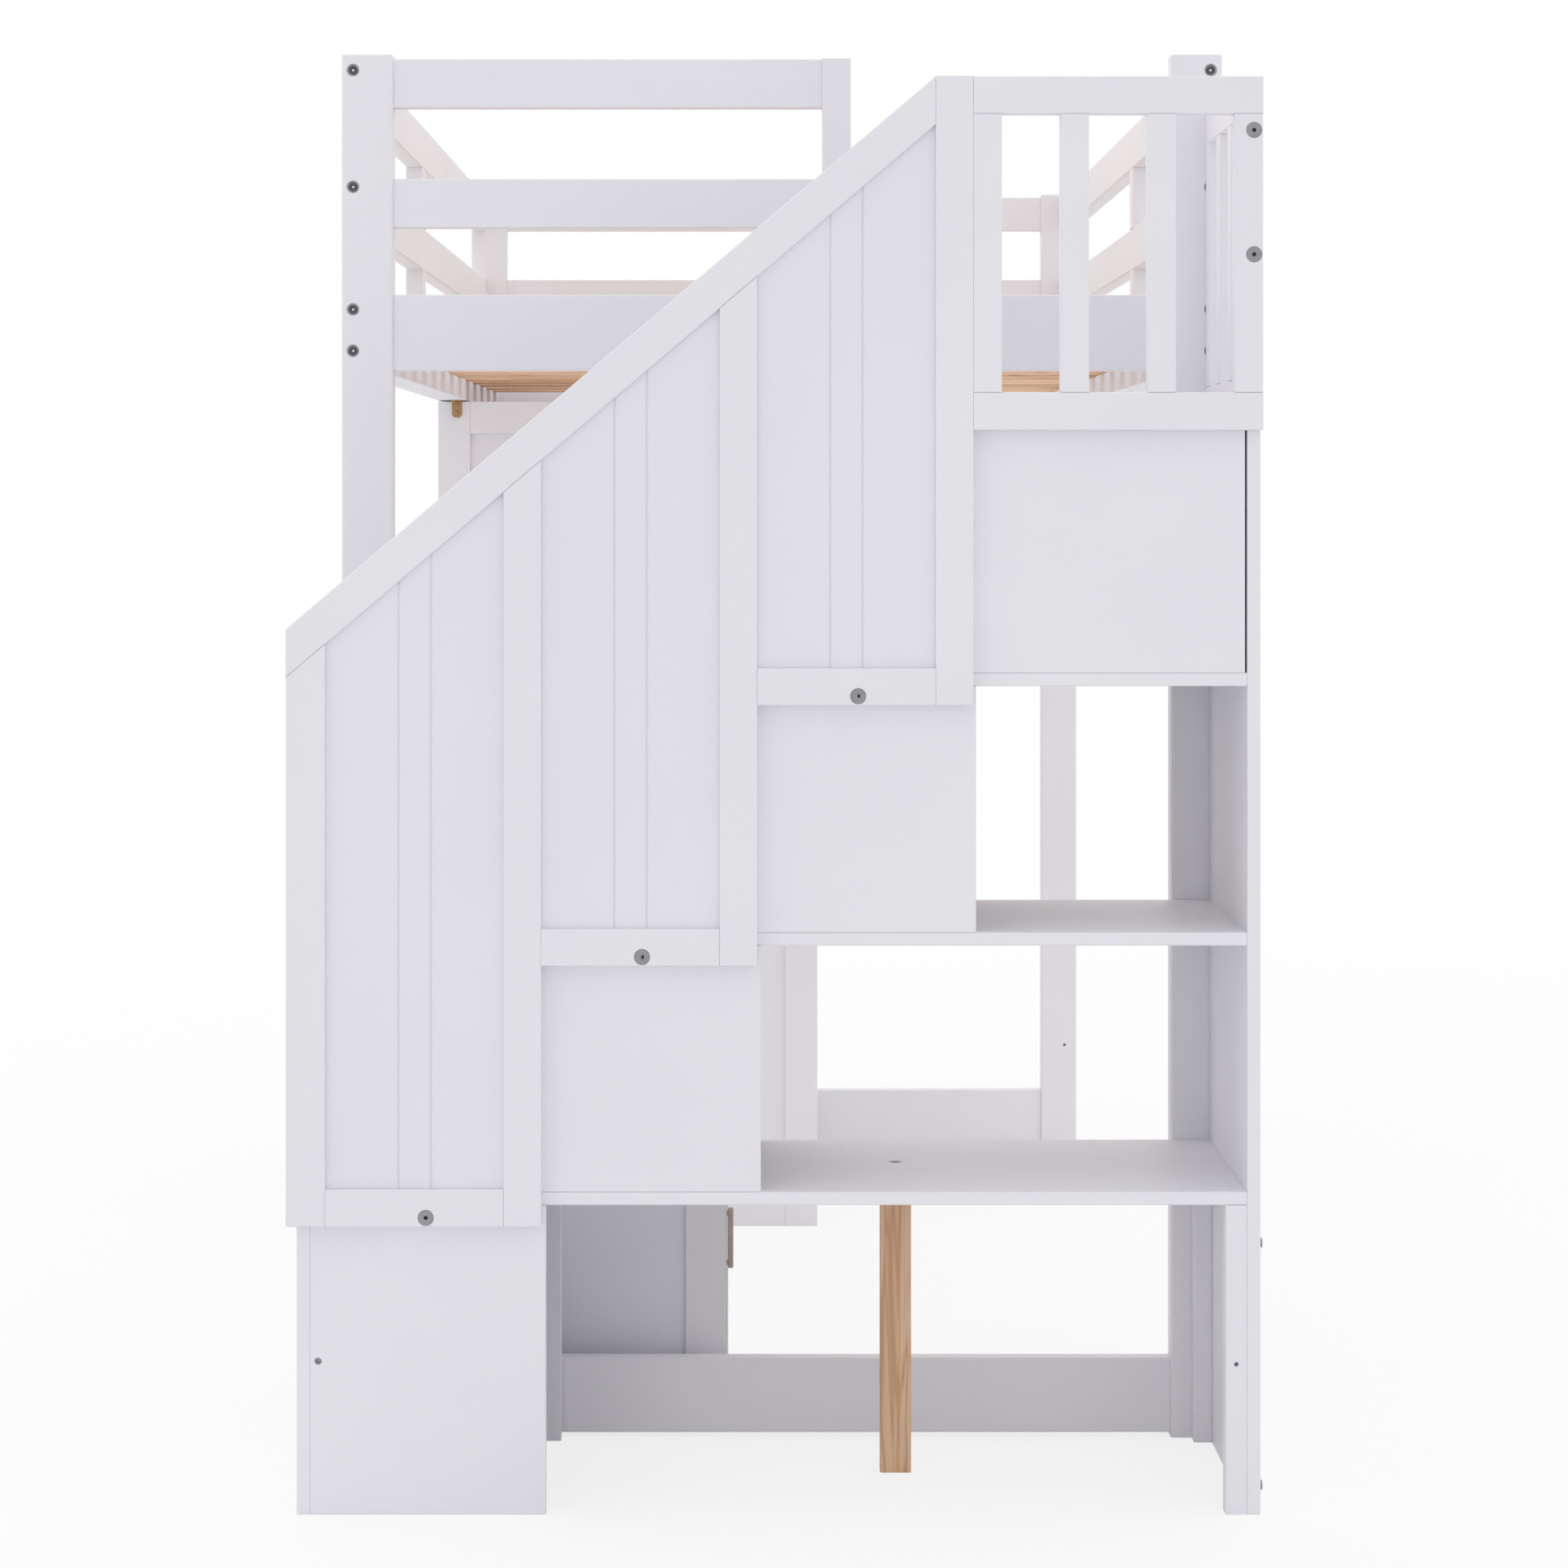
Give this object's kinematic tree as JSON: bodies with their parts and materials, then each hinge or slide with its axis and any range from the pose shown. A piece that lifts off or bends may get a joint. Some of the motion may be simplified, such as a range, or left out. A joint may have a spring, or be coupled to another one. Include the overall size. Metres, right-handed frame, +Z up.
{
  "type": "loft bed",
  "caption": "Twin loft bed with guard rails, a staircase of step boxes and shelves at one end, a sloped hand rail, a wardrobe and a low cabinet below.",
  "frame": {"origin": "on the floor, under the middle of the whole piece", "axes": "+X to the right across the bed, +Y along the bed from the staircase to the far end, +Z up"},
  "size_m": [1.088, 2.325, 1.67],
  "materials": {
    "white_paint": "satin white paint on wood and board",
    "bare_pine": "bare planed pine",
    "zinc_bolt": "bright zinc plated",
    "yellow_zinc": "yellow zinc plated",
    "pull_metal": "satin brownish metal",
    "pin_steel": "plain steel",
    "rod_chrome": "chrome plated tube"
  },
  "bodies": {
    "bed": {"bead_panels": "white_paint", "bed_slats": "bare_pine", "cabinet_back": "white_paint", "cabinet_boards": "white_paint", "cabinet_far_side": "white_paint", "cabinet_near_frame": "white_paint", "cabinet_near_panel": "white_paint", "cabinet_pivot_pins": "pin_steel", "end_rail_bolts": "zinc_bolt", "entry_post": "white_paint", "far_end_rail": "white_paint", "far_foot_rail": "white_paint", "far_guard_rails": "white_paint", "front_cheeks": "white_paint", "guard_uprights": "white_paint", "landing_balusters": "white_paint", "landing_board": "white_paint", "landing_rails": "white_paint", "landing_side_balusters": "white_paint", "landing_side_rails": "white_paint", "lower_rails": "white_paint", "near_end_rail": "white_paint", "near_foot_rail": "white_paint", "near_guard_rails": "white_paint", "pine_leg": "bare_pine", "post_far_left": "white_paint", "post_far_right": "white_paint", "post_near_left": "white_paint", "post_near_right": "white_paint", "rail_stiles": "white_paint", "rear_cheeks": "white_paint", "risers": "white_paint", "shelf_legs": "white_paint", "side_guards_left": "white_paint", "side_guards_right": "white_paint", "side_rail_bolts": "zinc_bolt", "side_rail_left": "white_paint", "side_rail_right": "white_paint", "slat_ledges": "white_paint", "slope_rail": "white_paint", "stair_bolts": "zinc_bolt", "stair_side_panel": "white_paint", "tie_bracket": "yellow_zinc", "tread_1": "white_paint", "tread_2": "white_paint", "tread_3": "white_paint", "wardrobe_back": "white_paint", "wardrobe_boards": "white_paint", "wardrobe_far_side": "white_paint", "wardrobe_near_frame": "white_paint", "wardrobe_near_panel": "white_paint", "wardrobe_pivot_pins": "pin_steel", "wardrobe_rod": "rod_chrome"},
    "cabinet_leaf": {"cabinet_door": "white_paint", "cabinet_pull": "pull_metal"},
    "wardrobe_leaf_near": {"wardrobe_door_near": "white_paint", "wardrobe_pull_near": "pull_metal"},
    "wardrobe_leaf_far": {"wardrobe_door_far": "white_paint", "wardrobe_pull_far": "pull_metal"}
  },
  "joints": [
    {"name": "cabinet_hinge", "type": "hinge", "parent": "bed", "child": "cabinet_leaf", "pos_m": [-0.0845, -0.7215, 0.1875], "axis": [0, 0, -1], "range_deg": [0, 95]},
    {"name": "wardrobe_hinge_near", "type": "hinge", "parent": "bed", "child": "wardrobe_leaf_near", "pos_m": [0.0475, 0.462, 0.673], "axis": [0, 0, -1], "range_deg": [0, 95]},
    {"name": "wardrobe_hinge_far", "type": "hinge", "parent": "bed", "child": "wardrobe_leaf_far", "pos_m": [0.0475, 1.1005, 0.673], "axis": [0, 0, 1], "range_deg": [0, 95]}
  ]
}
